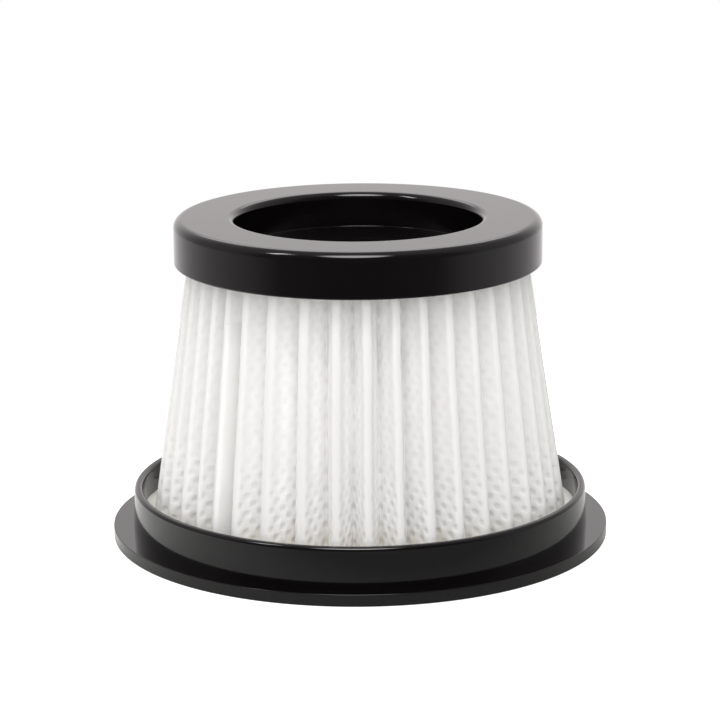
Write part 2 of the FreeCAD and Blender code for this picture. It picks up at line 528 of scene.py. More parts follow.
@dataclass
class BaseRing:
    """Ring at the wide end: sealing flange, upright rim and collar round the outlet in one moulding."""

    radius: float
    rim_top: float
    flange: float = 2.4
    rim_radius: float = 44.7
    rim_wall: float = 1.65
    rim_round: float = 0.75
    rim_draft: float = 0.3
    collar_radius: float = 31.1516
    collar_wall: float = 1.4
    collar_top: float = 7.0
    under_round: float = 0.3
    edge_round: float = 0.12
    edge_steps: int = 4
    rim_steps: int = 10
    segments: int = 256

    @classmethod
    def from_frame(cls) -> "BaseRing":
        """Take the outside sizes from the CAD node."""
        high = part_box(Node.BASE_RING.value)[1]
        return cls(radius=high[0] / MM, rim_top=high[2] / MM)

    def outline(self) -> list[Corner]:
        """Half section of the ring.

        Returns:
            Its corners, from the outlet round the flange and back over the collar.
        """
        outlet = self.collar_radius - self.collar_wall
        rim_inside = self.rim_radius - self.rim_wall
        return [
            Corner(outlet, 0, self.under_round),
            Corner(self.radius, 0, self.under_round),
            Corner(self.radius, self.flange, self.edge_round, self.edge_steps),
            Corner(self.rim_radius + self.rim_draft, self.flange),
            Corner(self.rim_radius, self.rim_top, self.rim_round, self.rim_steps),
            Corner(rim_inside, self.rim_top, self.rim_round, self.rim_steps),
            Corner(rim_inside, self.flange),
            Corner(self.collar_radius, self.flange),
            Corner(self.collar_radius, self.collar_top, self.under_round, self.edge_steps),
            Corner(outlet, self.collar_top, self.under_round, self.edge_steps),
        ]

    def build(self, plastic: bpy.types.Material) -> bpy.types.Object:
        """Make the ring and dress it.

        Args:
            plastic: Finish of the moulding.

        Returns:
            The ring.
        """
        mesh = turned_mesh("ring_moulding", self.outline(), self.segments)
        return enter(new_piece("ring_moulding", mesh, plastic), Node.BASE_RING)


@dataclass
class FoldRule:
    """Where the strip folds: at an even pitch, crowded beside the seam, fanned a little toward the cap.

    Radii belong to the mid-line of the cloth at its foot. Panels run straight from a tight valley to a
    round crest.
    """

    foot: float
    head: float
    pleats: int = 40
    crest_radius: float = 40.7
    crest_round: float = 0.75
    valley_radius: float = 31.6695
    valley_round: float = 0.4
    head_scale: float = 0.797297
    cloth: float = 0.6
    front_fold_deg: float = 2.5
    crowd_deg: float = 4.5
    crowd_centre_deg: float = -33.0
    crowd_width_deg: float = 16.0
    fan_deg: float = 5.8
    seam_fold: int = -5

    @classmethod
    def from_frame(cls) -> "FoldRule":
        """Take the foot and the head of the strip from the CAD node."""
        low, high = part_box(Node.PLEATED_MEDIA.value)
        return cls(foot=low[2] / MM, head=high[2] / MM)

    def half_angles(self) -> tuple[float, float]:
        """Slant of a panel.

        Returns:
            Angle between the panel and the radius at its crest and at its valley, in radians.
        """
        step = math.pi / self.pleats
        across = self.valley_radius * math.sin(step)
        deep = self.crest_radius - self.crest_round - self.valley_radius * math.cos(step)
        crest = math.atan2(across, deep) - math.asin(self.crest_round / math.hypot(across, deep))
        return crest, crest + step

    def tip_radius(self) -> float:
        """Radius of the sharp corner that two panels aim at, outside the round of their crest."""
        return self.crest_radius - self.crest_round + self.crest_round / math.sin(self.half_angles()[0])

    def panel_width(self) -> float:
        """Width of one panel.

        Returns:
            Distance along its mid-line from the sharp corner outside its crest to its valley.
        """
        step = math.pi / self.pleats
        across = self.valley_radius * math.sin(step)
        return math.hypot(across, self.tip_radius() - self.valley_radius * math.cos(step))

    def panel_cloth(self) -> float:
        """Cloth in one panel from the top of its crest to its valley."""
        crest = self.half_angles()[0]
        return self.panel_width() + self.crest_round * (math.pi / 2 - crest - 1 / math.tan(crest))

    def face_gain(self) -> float:
        """What one face of a panel is longer than its mid-line."""
        crest, valley = self.half_angles()
        return self.cloth / 2 * (1 / math.tan(crest) - 1 / math.tan(valley))

    def outer_round(self) -> float:
        """Cloth on the outside of half a crest."""
        return (self.crest_round + self.cloth / 2) * (math.pi / 2 - self.half_angles()[0])

    def outer_flat(self) -> float:
        """Cloth on the outside of the flat part of a panel."""
        touch = (self.crest_round + self.cloth / 2) / math.tan(self.half_angles()[0])
        return self.panel_width() + self.face_gain() - touch

    def ray(self, fold: float, rise: float) -> Vector:
        """Direction of a fold from the axis.

        Args:
            fold: Whole numbers are the crests and halves the valleys.
            rise: Share of the way from the foot to the head.

        Returns:
            Level unit vector.
        """
        even = self.front_fold_deg + fold * 360 / self.pleats
        off = (even - self.crowd_centre_deg + 180) % 360 - 180
        angle = math.radians(even - self.crowd_deg * math.exp(-((off / self.crowd_width_deg) ** 2)))
        angle += math.radians(self.fan_deg) * math.sin(angle) * (rise - 0.5)
        return Vector((math.sin(angle), -math.cos(angle), 0))

    def outer_point(self, fold: float, round_share: float, flat_share: float, height: float) -> Vector:
        """Point on the outside of the panel that follows a crest.

        Args:
            fold: The crest.
            round_share: Share of the way round the crest, from its top to the flat panel.
            flat_share: Share of the way along the flat panel.
            height: Level above the flange underside.

        Returns:
            The point, in millimetres.
        """
        rise = (height - self.foot) / (self.head - self.foot)
        scale = 1 + (self.head_scale - 1) * rise
        crest, valley = self.half_angles()
        reach = self.crest_round * scale + self.cloth / 2
        touch = reach / math.tan(crest) / (self.panel_width() * scale + self.face_gain())
        turn = round_share * (math.pi / 2 - crest)
        share = touch * math.sin(turn) / math.cos(crest) + flat_share * (1 - touch)
        saved = reach * ((1 - math.sin(turn) * math.cos(crest)) / math.sin(crest) - math.cos(turn))
        tip_arm = (self.tip_radius() * scale + self.cloth / 2 / math.sin(crest)) * (1 - share) - saved
        valley_arm = (self.valley_radius * scale + self.cloth / 2 / math.sin(valley)) * share
        level = self.ray(fold, rise) * tip_arm + self.ray(fold + 0.5, rise) * valley_arm
        return level + Vector((0, 0, height))


@dataclass
class PleatedMedia:
    """The filter strip: one length of embossed cloth, folded into pleats and closed into a cone.

    A panel has even columns round its half of the crest and even columns along its flat part. Places on the
    cloth are counted in the flat columns and in rows, and places along the strip in panels.
    """

    rule: FoldRule
    panel_columns: int = 16
    round_columns: int = 6
    rows: int = 64
    inner_step: int = 8
    panel_slack: float = 0.001
    weld_mm: float = 0.005
    point_columns: float = 4.6
    point_rows: int = 4
    point_shift: float = 0.3
    emboss_mm: float = 0.16
    emboss_least: float = 0.2
    emboss_fade: float = 0.45
    pillow_share: float = 0.5
    crest_slope: float = 0.95
    crest_start: float = 0.7
    # Width over which the painted shade of a crest fades out
    crest_painted_shade_mm: float = 4.8
    seam_panels: float = 0.55
    wave_deg: float = 0.8
    wave_along: float = 0.8
    wave_up: float = 2.4
    seed: float = 7.0

    def sizes(self, cloth: bpy.types.Material) -> dict[str, Any]:
        """Named inputs of the node tree.

        Args:
            cloth: Finish of the strip.

        Returns:
            Value of each input by its name, lengths in metres and angles in radians.
        """
        rule = self.rule
        tip_angle, valley_angle = rule.half_angles()
        flat_step = rule.outer_flat() / (self.panel_columns - self.round_columns)
        return {
            "Pleats": rule.pleats,
            "Panel columns": self.panel_columns,
            "Round columns": self.round_columns,
            "Round in flat columns": rule.outer_round() / flat_step,
            "Rows": self.rows,
            "Tip radius": rule.tip_radius() * MM,
            "Tip round": rule.crest_round * MM,
            "Tip angle": tip_angle,
            "Valley radius": rule.valley_radius * MM,
            "Valley round": rule.valley_round * MM,
            "Valley angle": valley_angle,
            "Panel width": rule.panel_width() * MM,
            "Face gain": rule.face_gain() * MM,
            "Half cloth": rule.cloth / 2 * MM,
            "Head scale": rule.head_scale,
            "Foot level": rule.foot * MM,
            "Head level": rule.head * MM,
            "Front fold": math.radians(rule.front_fold_deg),
            "Seam fold": float(rule.seam_fold),
            "Crowding": math.radians(rule.crowd_deg),
            "Crowding centre": math.radians(rule.crowd_centre_deg),
            "Crowding width": math.radians(rule.crowd_width_deg),
            "Fan": math.radians(rule.fan_deg),
            "Emboss depth": self.emboss_mm * MM,
            "Emboss least": self.emboss_least,
            "Emboss fade": self.emboss_fade,
            "Pillow share": self.pillow_share,
            "Crest tone": self.crest_painted_shade_mm / flat_step,
            "Waviness": math.radians(self.wave_deg),
            "Seed": self.seed,
            "Cloth": cloth,
        }

    def steps(self) -> list[tuple[Any, ...]]:
        """Arithmetic of the strip, one row for each Math node: result, operation and terms.

        Returns:
            Rows in the order they are worked out. A term is a number, or the name of an input or of an
            earlier result.
        """
        rows: list[tuple[Any, ...]] = [
            # Points of the outer and the inner sheet, which is coarser up the cloth. The outer one has a row
            # more at each end to close the edge
            ("panels", "MULTIPLY", "Pleats", 2.0),
            ("columns", "MULTIPLY", "panels", "Panel columns"),
            ("strip points", "ADD", "columns", 1.0),
            ("outer rows", "ADD", "Rows", 2.0),
            ("outer points", "ADD", "outer rows", 1.0),
            ("inner rows", "DIVIDE", "Rows", float(self.inner_step)),
            ("inner points", "ADD", "inner rows", 1.0),
            # Column, row and face of each point. The strip starts half a panel after the seam fold
            ("half panel", "MULTIPLY", "Panel columns", 0.5),
            ("along", "MULTIPLY_ADD", "columns", 0.5, "grid x"),
            ("whole along", "ROUND", "along"),
            ("strip column", "ADD", "whole along", "half panel"),
            ("outer step", "MULTIPLY_ADD", "outer rows", 0.5, "grid y"),
            ("outer up", "SUBTRACT", "outer step", 1.0),
            ("outer above foot", "MAXIMUM", "outer up", 0.0),
            ("outer held", "MINIMUM", "outer above foot", "Rows"),
            ("outer row", "ROUND", "outer held"),
            ("outer face", "COMPARE", "outer up", "outer row", 0.5),
            ("inner middle", "MULTIPLY", "Rows", 0.5),
            ("inner up", "MULTIPLY_ADD", "grid y", float(self.inner_step), "inner middle"),
            ("inner row", "ROUND", "inner up"),
            # Panel that a point lies on, and its share of the way from the outer fold to the valley
            ("panel at", "DIVIDE", "column", "Panel columns"),
            ("panel over", "ADD", "panel at", self.panel_slack),
            ("panel", "FLOOR", "panel over"),
            ("share", "SUBTRACT", "panel at", "panel"),
            ("inbound", "FLOORED_MODULO", "panel", 2.0),
            ("turned share", "MULTIPLY_ADD", "share", -2.0, 1.0),
            ("from tip", "MULTIPLY_ADD", "turned share", "inbound", "share"),
            ("fold", "MULTIPLY_ADD", "panel", 0.5, "Seam fold"),
            ("next fold", "ADD", "fold", 0.5),
            ("tip fold", "MULTIPLY_ADD", "inbound", 0.5, "fold"),
            ("valley fold", "MULTIPLY_ADD", "inbound", -0.5, "next fold"),
            ("pitch", "DIVIDE", 2 * math.pi, "Pleats"),
            ("rise", "DIVIDE", "row", "Rows"),
            ("shrink", "SUBTRACT", "Head scale", 1.0),
            ("level scale", "MULTIPLY_ADD", "rise", "shrink", 1.0),
            ("above middle", "SUBTRACT", "rise", 0.5),
            ("fan here", "MULTIPLY", "above middle", "Fan"),
            ("side", "MULTIPLY_ADD", "face", 2.0, -1.0),
            ("panel here", "MULTIPLY", "Panel width", "level scale"),
            ("panel face", "MULTIPLY_ADD", "side", "Face gain", "panel here"),
        ]
        for end, size, swell in (("tip", "Tip", 1.0), ("valley", "Valley", -1.0)):
            rows += [
                # Azimuth of the fold at this end of the panel
                (f"{end} even", "MULTIPLY_ADD", f"{end} fold", "pitch", "Front fold"),
                (f"{end} off", "SUBTRACT", f"{end} even", "Crowding centre"),
                (f"{end} wrapped", "WRAP", f"{end} off", math.pi, -math.pi),
                (f"{end} spread", "DIVIDE", f"{end} wrapped", "Crowding width"),
                (f"{end} square", "MULTIPLY", f"{end} spread", f"{end} spread"),
                (f"{end} fall", "MULTIPLY", f"{end} square", -1.0),
                (f"{end} bell", "EXPONENT", f"{end} fall"),
                (f"{end} crowd", "MULTIPLY", f"{end} bell", "Crowding"),
                (f"{end} set", "SUBTRACT", f"{end} even", f"{end} crowd"),
                (f"{end} lean", "SINE", f"{end} set"),
                (f"{end} angle", "MULTIPLY_ADD", f"{end} lean", "fan here", f"{end} set"),
                (f"{end} sine", "SINE", f"{end} angle"),
                (f"{end} cosine", "COSINE", f"{end} angle"),
                # Sharp corner of this face, the round that it gets, and the share of the panel that the
                # round takes
                (f"{end} angle sine", "SINE", f"{size} angle"),
                (f"{end} angle cosine", "COSINE", f"{size} angle"),
                (f"{end} angle tangent", "TANGENT", f"{size} angle"),
                (f"{end} offset", "DIVIDE", "Half cloth", f"{end} angle sine"),
                (f"{end} lift", "MULTIPLY", f"{end} offset", "side"),
                (f"{end} line", "MULTIPLY_ADD", f"{size} radius", "level scale", f"{end} lift"),
                (f"{end} swell", "MULTIPLY", "side", swell),
                (f"{end} mid round", "MULTIPLY", f"{size} round", "level scale"),
                (f"{end} face round", "MULTIPLY_ADD", "Half cloth", f"{end} swell", f"{end} mid round"),
                (f"{end} touch", "DIVIDE", f"{end} face round", f"{end} angle tangent"),
                (f"{end} reach", "DIVIDE", f"{end} touch", "panel face"),
            ]
        rows += [
            # Round of the crest in even turns, then even steps along the flat panel
            ("columns in", "MULTIPLY", "from tip", "Panel columns"),
            ("turned", "DIVIDE", "columns in", "Round columns"),
            ("round share", "MINIMUM", "turned", 1.0),
            ("quarter", "SUBTRACT", math.pi / 2, "Tip angle"),
            ("round turn", "MULTIPLY", "round share", "quarter"),
            ("round sine", "SINE", "round turn"),
            ("round cosine", "COSINE", "round turn"),
            ("flat column", "SUBTRACT", "columns in", "Round columns"),
            ("flat held", "MAXIMUM", "flat column", 0.0),
            ("flat columns", "SUBTRACT", "Panel columns", "Round columns"),
            ("flat share", "DIVIDE", "flat held", "flat columns"),
            ("round part", "DIVIDE", "round sine", "tip angle cosine"),
            ("flat part", "SUBTRACT", 1.0, "tip reach"),
            ("way round", "MULTIPLY", "round part", "tip reach"),
            ("way in", "MULTIPLY_ADD", "flat share", "flat part", "way round"),
            ("way out", "SUBTRACT", 1.0, "way in"),
            # How far the round cuts back the sharp corner of the crest
            ("tip drop", "MULTIPLY", "round sine", "tip angle cosine"),
            ("tip left", "SUBTRACT", 1.0, "tip drop"),
            ("tip straight", "DIVIDE", "tip left", "tip angle sine"),
            ("tip gap", "SUBTRACT", "tip straight", "round cosine"),
            ("tip cut", "MULTIPLY", "tip gap", "tip face round"),
            # The same in the valley
            ("valley way", "DIVIDE", "way out", "valley reach"),
            ("valley held", "MINIMUM", "valley way", 1.0),
            ("valley across", "MULTIPLY", "valley held", "valley angle cosine"),
            ("valley square across", "MULTIPLY", "valley across", "valley across"),
            ("valley rest", "SUBTRACT", 1.0, "valley square across"),
            ("valley root", "SQRT", "valley rest"),
            ("valley drop", "MULTIPLY", "valley across", "valley angle cosine"),
            ("valley left", "SUBTRACT", 1.0, "valley drop"),
            ("valley straight", "DIVIDE", "valley left", "valley angle sine"),
            ("valley gap", "SUBTRACT", "valley straight", "valley root"),
            ("valley cut", "MULTIPLY", "valley gap", "valley face round"),
        ]
        return rows + [
            # Place of the point
            ("tip sharp arm", "MULTIPLY", "tip line", "way out"),
            ("tip arm", "SUBTRACT", "tip sharp arm", "tip cut"),
            ("valley arm", "MULTIPLY_ADD", "valley line", "way in", "valley cut"),
            ("tip x", "MULTIPLY", "tip sine", "tip arm"),
            ("place x", "MULTIPLY_ADD", "valley sine", "valley arm", "tip x"),
            ("tip y", "MULTIPLY", "tip cosine", "tip arm"),
            ("back y", "MULTIPLY_ADD", "valley cosine", "valley arm", "tip y"),
            ("place y", "MULTIPLY", "back y", -1.0),
            ("stand", "SUBTRACT", "Head level", "Foot level"),
            ("place z", "MULTIPLY_ADD", "rise", "stand", "Foot level"),
            # Slow sideways wave of the pleats, held still at the seam
            ("wave along", "MULTIPLY", "panel at", self.wave_along),
            ("wave up", "MULTIPLY", "rise", self.wave_up),
            ("from start", "SUBTRACT", "column", "half panel"),
            ("from end", "SUBTRACT", "columns", "from start"),
            ("from seam", "MINIMUM", "from start", "from end"),
            ("seam share", "DIVIDE", "from seam", "Panel columns"),
            ("free of seam", "MINIMUM", "seam share", 1.0),
            ("wave", "SUBTRACT", "wave noise", 0.5),
            ("turn", "MULTIPLY", "wave", "Waviness"),
            ("held turn", "MULTIPLY", "turn", "free of seam"),
            # Staggered emboss points with a soft pillow between four of them. They leave the crests smooth,
            # are deepest at the foot, and the adhesive fills them on the seam panel
            ("round left", "SUBTRACT", "round share", 1.0),
            ("cloth column", "MULTIPLY_ADD", "round left", "Round in flat columns", "flat held"),
            ("from crest", "ADD", "cloth column", "Round in flat columns"),
            ("point column", "ADD", "cloth column", self.point_shift),
            ("column turn", "MULTIPLY", "point column", 2 * math.pi / self.point_columns),
            ("row turn", "MULTIPLY", "row", 2 * math.pi / self.point_rows),
            ("column swing", "COSINE", "column turn"),
            ("row swing", "COSINE", "row turn"),
            ("quilt", "MULTIPLY", "column swing", "row swing"),
            ("point", "MAXIMUM", "quilt", 0.0),
            ("hollow", "MINIMUM", "quilt", 0.0),
            ("relief", "MULTIPLY_ADD", "hollow", "Pillow share", "point"),
            ("faded", "DIVIDE", "rise", "Emboss fade"),
            ("fading", "SUBTRACT", 1.0, "faded"),
            ("near foot", "MAXIMUM", "fading", "Emboss least"),
            ("off crest", "MULTIPLY_ADD", "from crest", self.crest_slope, -self.crest_start),
            ("past crest", "MAXIMUM", "off crest", 0.0),
            ("clear of crest", "MINIMUM", "past crest", 1.0),
            # Share of painted shade: full at the top of the crest, gone past the width it fades over
            ("crest way", "DIVIDE", "from crest", "Crest tone"),
            ("crest held", "MINIMUM", "crest way", 1.0),
            ("crest", "SUBTRACT", 1.0, "crest held"),
            ("clear of seam", "GREATER_THAN", "seam share", self.seam_panels),
            ("clear", "MULTIPLY", "clear of crest", "clear of seam"),
            ("clear outside", "MULTIPLY", "clear", "face"),
            ("strength", "MULTIPLY", "near foot", "clear outside"),
            ("relief here", "MULTIPLY", "relief", "strength"),
            ("press", "MULTIPLY", "relief here", "Emboss depth"),
            ("press in", "MULTIPLY", "press", -1.0),
        ]

    def tree(self, sizes: dict[str, Any]) -> bpy.types.NodeTree:
        """Build the node tree that folds the strip.

        Args:
            sizes: Named inputs of the tree.

        Returns:
            The tree.
        """
        tree = bpy.data.node_groups.new("folded_filter_strip", "GeometryNodeTree")
        tree.interface.new_socket("Geometry", in_out="OUTPUT", socket_type="NodeSocketGeometry")
        for name, value in sizes.items():
            tree.interface.new_socket(name, in_out="INPUT", socket_type=SOCKETS[type(value)])
        entry = add_node(tree, "NodeGroupInput")
        spot = add_node(tree, "ShaderNodeSeparateXYZ",
                        {0: add_node(tree, "GeometryNodeInputPosition").outputs[0]})
        known: dict[str, Any] = {name: entry.outputs[name] for name in sizes}
        known["grid x"], known["grid y"] = spot.outputs[0], spot.outputs[1]
        for name in ("column", "row", "face"):
            mark = add_node(tree, "GeometryNodeInputNamedAttribute", {"Name": name}, data_type="FLOAT")
            known[name] = mark.outputs[0]
        wave = add_node(tree, "ShaderNodeTexNoise", {"Scale": 1.0, "Detail": 1.0})
        known["wave noise"] = wave.outputs[0]
        for name, operation, *terms in self.steps():
            feeds = {i: known[term] if isinstance(term, str) else term for i, term in enumerate(terms)}
            result = add_node(tree, "ShaderNodeMath", feeds, operation=operation, label=name)
            known[name] = result.outputs[0]
        drift = add_node(tree, "ShaderNodeCombineXYZ",
                         {0: known["wave along"], 1: known["wave up"], 2: known["Seed"]})
        tree.links.new(drift.outputs[0], wave.inputs["Vector"])

        sheets = []
        for side, face in (("outer", known["outer face"]), ("inner", 0.0)):
            grid = add_node(tree, "GeometryNodeMeshGrid",
                            {"Size X": known["columns"], "Size Y": known[f"{side} rows"],
                             "Vertices X": known["strip points"], "Vertices Y": known[f"{side} points"]})
            sheet = grid.outputs[0]
            marks = {"column": known["strip column"], "row": known[f"{side} row"], "face": face}
            for name, value in marks.items():
                sheet = add_node(tree, "GeometryNodeStoreNamedAttribute",
                                 {"Geometry": sheet, "Name": name, "Value": value},
                                 data_type="FLOAT", domain="POINT").outputs[0]
            if side == "inner":
                sheet = add_node(tree, "GeometryNodeFlipFaces", {0: sheet}).outputs[0]
            sheets.append(sheet)
        cloth = add_node(tree, "GeometryNodeJoinGeometry", {0: sheets}).outputs[0]
        place = add_node(tree, "ShaderNodeCombineXYZ",
                         {0: known["place x"], 1: known["place y"], 2: known["place z"]})
        swayed = add_node(tree, "ShaderNodeVectorRotate",
                          {"Vector": place.outputs[0], "Angle": known["held turn"]}, rotation_type="Z_AXIS")
        cloth = add_node(tree, "GeometryNodeSetPosition",
                         {"Geometry": cloth, "Position": swayed.outputs[0]}).outputs[0]
        cloth = add_node(tree, "GeometryNodeMergeByDistance",
                         {"Geometry": cloth, "Distance": self.weld_mm * MM}).outputs[0]
        normal = add_node(tree, "GeometryNodeInputNormal")
        press = add_node(tree, "ShaderNodeVectorMath",
                         {"Vector": normal.outputs[0], "Scale": known["press in"]}, operation="SCALE")
        cloth = add_node(tree, "GeometryNodeSetPosition",
                         {"Geometry": cloth, "Offset": press.outputs[0]}).outputs[0]
        grid = add_node(tree, "ShaderNodeCombineXYZ",
                        {0: known["column turn"], 1: known["row turn"], 2: known["strength"]})
        # Emboss phase and strength, and the share of painted shade over the crests, for the cloth's material
        for mark, value, kind in ((Mark.EMBOSS, grid.outputs[0], "FLOAT_VECTOR"),
                                  (Mark.CREST, known["crest"], "FLOAT")):
            store = add_node(tree, "GeometryNodeStoreNamedAttribute",
                             {"Geometry": cloth, "Name": mark.value}, data_type=kind, domain="POINT")
            tree.links.new(value, next(s for s in store.inputs if s.name == "Value" and s.enabled))
            cloth = store.outputs[0]
        for name in ("column", "row", "face"):
            cloth = add_node(tree, "GeometryNodeRemoveAttribute",
                             {"Geometry": cloth, "Name": name}).outputs[0]
        cloth = add_node(tree, "GeometryNodeSetShadeSmooth", {"Geometry": cloth}).outputs[0]
        cloth = add_node(tree, "GeometryNodeRealizeInstances", {"Geometry": cloth}).outputs[0]
        cloth = add_node(tree, "GeometryNodeSetMaterial",
                         {"Geometry": cloth, "Material": known["Cloth"]}).outputs[0]
        add_node(tree, "NodeGroupOutput", {0: cloth})
        return tree

    def build(self, cloth: bpy.types.Material) -> bpy.types.Object:
        """Fold the strip and dress it.

        Args:
            cloth: Finish of the strip.

        Returns:
            The strip as one plain mesh.
        """
        sizes = self.sizes(cloth)
        tree = self.tree(sizes)
        piece = new_piece("folded_cloth", bpy.data.meshes.new("folded_cloth"))
        fold = piece.modifiers.new("fold", "NODES")
        fold.node_group = tree
        sockets = {item.name: item.identifier for item in tree.interface.items_tree
                   if item.in_out == "INPUT"}
        for name, value in sizes.items():
            fold[sockets[name]] = value
        ready = piece.evaluated_get(bpy.context.evaluated_depsgraph_get())
        mesh = bpy.data.meshes.new_from_object(ready)
        piece.modifiers.remove(fold)
        piece.data = mesh
        enter(piece, Node.PLEATED_MEDIA)
        self.declare()
        return piece

    def declare(self) -> None:
        """Work out the length of cloth in the strip, and leave it unused.
        """
        rule = self.rule
        length = 2 * rule.pleats * rule.panel_cloth() * MM


@dataclass
class SeamBand:
    """Band of adhesive over the two cut ends of the strip, on the outside of one panel beside its crest.

    Its edges and its thickness are a little uneven, and its ends run out thin.
    """

    rule: FoldRule
    bottom: float
    top: float
    thick: float = 0.3
    bite: float = 0.06
    reach: float = 0.8
    round_columns: int = 4
    flat_columns: int = 8
    rows: int = 48
    crest_share: float = 0.1
    uneven: float = 0.04
    uneven_mm: float = 6.0
    uneven_seed: float = 3.7
    crown_power: int = 4
    end_slope: float = 6.0
    end_least: float = 0.25
    lump_base: float = 0.85
    lump_swing: float = 0.3
    lump_mm: float = 5.0
    lump_seed: float = 1.3
    sharp_deg: float = 60.0

    @classmethod
    def from_frame(cls, rule: FoldRule) -> "SeamBand":
        """Take the ends of the band from the CAD node."""
        low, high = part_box(Node.SEAM_STRIP.value)
        return cls(rule=rule, bottom=low[2] / MM, top=high[2] / MM)

    def line(self, height: float) -> list[tuple[Vector, Vector]]:
        """Points of the cloth that the band covers at one level.

        Args:
            height: Level above the flange underside.

        Returns:
            Each point with the outward normal of the cloth, from the crest toward the valley.
        """
        reach = self.reach + self.uneven * noise.noise((0.0, self.uneven_seed, height / self.uneven_mm))
        start = self.crest_share
        shares = [(start + (1 - start) * i / self.round_columns, 0.0) for i in range(self.round_columns + 1)]
        shares += [(1.0, reach * (i + 1) / self.flat_columns) for i in range(self.flat_columns)]
        spots = [self.rule.outer_point(self.rule.seam_fold, *share, height) for share in shares]
        line = []
        for i, spot in enumerate(spots):
            along = (spots[min(i + 1, len(spots) - 1)] - spots[max(i - 1, 0)]).normalized()
            line.append((spot, Vector((along.y, -along.x, 0))))
        return line

    def mesh(self) -> bpy.types.Mesh:
        """Crowned ribbon with slightly uneven edges, pressed a little into the cloth.

        Returns:
            A closed mesh.
        """
        form = bmesh.new()
        columns = self.round_columns + self.flat_columns
        layers: list[list[list[bmesh.types.BMVert]]] = [[], []]
        for i in range(self.rows + 1):
            share = i / self.rows
            height = self.bottom + (self.top - self.bottom) * share
            end = min(1.0, self.end_slope * min(share, 1 - share) + self.end_least)
            spots = self.line(height)
            for layer in (0, 1):
                row = []
                for k, (spot, normal) in enumerate(spots):
                    across = k / columns
                    crown = (1 - (2 * across - 1) ** self.crown_power) * end
                    lump = noise.noise((across * 2, self.lump_seed, height / self.lump_mm))
                    full = self.thick * crown * (self.lump_base + self.lump_swing * lump)
                    rise = -self.bite if layer == 0 else full
                    row.append(form.verts.new((spot + normal * rise) * MM))
                layers[layer].append(row)
        for layer in layers:
            for i in range(self.rows):
                for k in range(columns):
                    form.faces.new((layer[i][k], layer[i][k + 1], layer[i + 1][k + 1], layer[i + 1][k]))
        under, over = layers
        for i in range(self.rows):
            for k in (0, columns):
                form.faces.new((under[i][k], under[i + 1][k], over[i + 1][k], over[i][k]))
        for i in (0, self.rows):
            for k in range(columns):
                form.faces.new((under[i][k], under[i][k + 1], over[i][k + 1], over[i][k]))
        return smooth_mesh(form, "seam_band", self.sharp_deg)

    def build(self, adhesive: bpy.types.Material) -> bpy.types.Object:
        """Make the band and dress it.

        Args:
            adhesive: Finish of the band.

        Returns:
            The band.
        """
        return enter(new_piece("seam_band", self.mesh(), adhesive), Node.SEAM_STRIP)


@dataclass
class AdhesiveBed:
    """Ring of set adhesive that holds one end of the pleats, with a skin that creeps up both walls.

    A skin is given by shares of its width, counted from the wall, and of its height.
    """

    name: str
    node: Node
    inner: float
    outer: float
    back: float
    face: float
    creep: float = 0.7
    creep_width: float = 1.1
    outer_skin: tuple[tuple[float, float], ...] = ((0.0, 1.0), (0.3, 0.45), (0.65, 0.13), (1.0, 0.0))
    inner_skin: tuple[tuple[float, float], ...] = ((1.0, 0.0), (0.5, 0.2), (0.0, 0.6))
    uneven: float = 0.18
    uneven_from: float = 0.1
    lump: float = 5.0
    segments: int = 224
    sharp_deg: float = 75.0

    @classmethod
    def between(cls, name: str, node: Node, inner: float, faces_up: bool) -> "AdhesiveBed":
        """Take the sizes of a bed from its CAD node.

        Args:
            name: Name of the piece.
            node: CAD node of the bed.
            inner: Radius of its inner wall.
            faces_up: Whether the pleats stand on it, rather than hang from it.

        Returns:
            The bed.
        """
        low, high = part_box(node.value)
        back, face = (low[2], high[2]) if faces_up else (high[2], low[2])
        return cls(name=name, node=node, inner=inner, outer=high[0] / MM, back=back / MM, face=face / MM)

    def build(self, adhesive: bpy.types.Material) -> bpy.types.Object:
        """Make the bed and dress it.

        Args:
            adhesive: Finish of the bed.

        Returns:
            The bed.
        """
        up = 1.0 if self.face > self.back else -1.0
        corners = [Corner(self.inner, self.back), Corner(self.outer, self.back)]
        corners += [Corner(self.outer - self.creep_width * across, self.face + up * self.creep * rise)
                    for across, rise in self.outer_skin]
        corners.append(Corner((self.inner + self.outer) / 2, self.face))
        corners += [Corner(self.inner + self.creep_width * across, self.face + up * self.creep * rise)
                    for across, rise in self.inner_skin]
        mesh = turned_mesh(self.name, corners, self.segments, self.sharp_deg)
        for vertex in mesh.vertices:
            if (vertex.co.z / MM - self.back) * up > self.uneven_from:
                spot = vertex.co / (self.lump * MM)
                vertex.co.z += up * noise.noise(spot) * self.uneven * MM
        return enter(new_piece(self.name, mesh, adhesive), self.node)


@dataclass(frozen=True)
class SoftBox:
    """Soft lamp that looks at the cartridge: where it stands, its size and how bright its face is.

    A lamp that isn't mirrored lights the cartridge without showing in its gloss.
    """

    name: str
    azimuth_deg: float
    elevation_deg: float
    distance: float
    width: float
    height: float
    radiance: float
    mirrored: bool = True

    def build(self, aim: Vector) -> None:
        """Hang the lamp.

        Args:
            aim: Point that it looks at, in metres.
        """
        data = bpy.data.lights.new(self.name, "AREA")
        data.shape = "RECTANGLE"
        data.size = self.width
        data.size_y = self.height
        data.energy = self.radiance * math.pi * self.width * self.height
        lamp = bpy.data.objects.new(self.name, data)
        bpy.context.scene.collection.objects.link(lamp)
        turn, lift = math.radians(self.azimuth_deg), math.radians(self.elevation_deg)
        way = Vector((math.sin(turn) * math.cos(lift), -math.cos(turn) * math.cos(lift), math.sin(lift)))
        lamp.location = aim + way * self.distance
        lamp.rotation_euler = way.to_track_quat("Z", "Y").to_euler()
        lamp.visible_glossy = self.mirrored


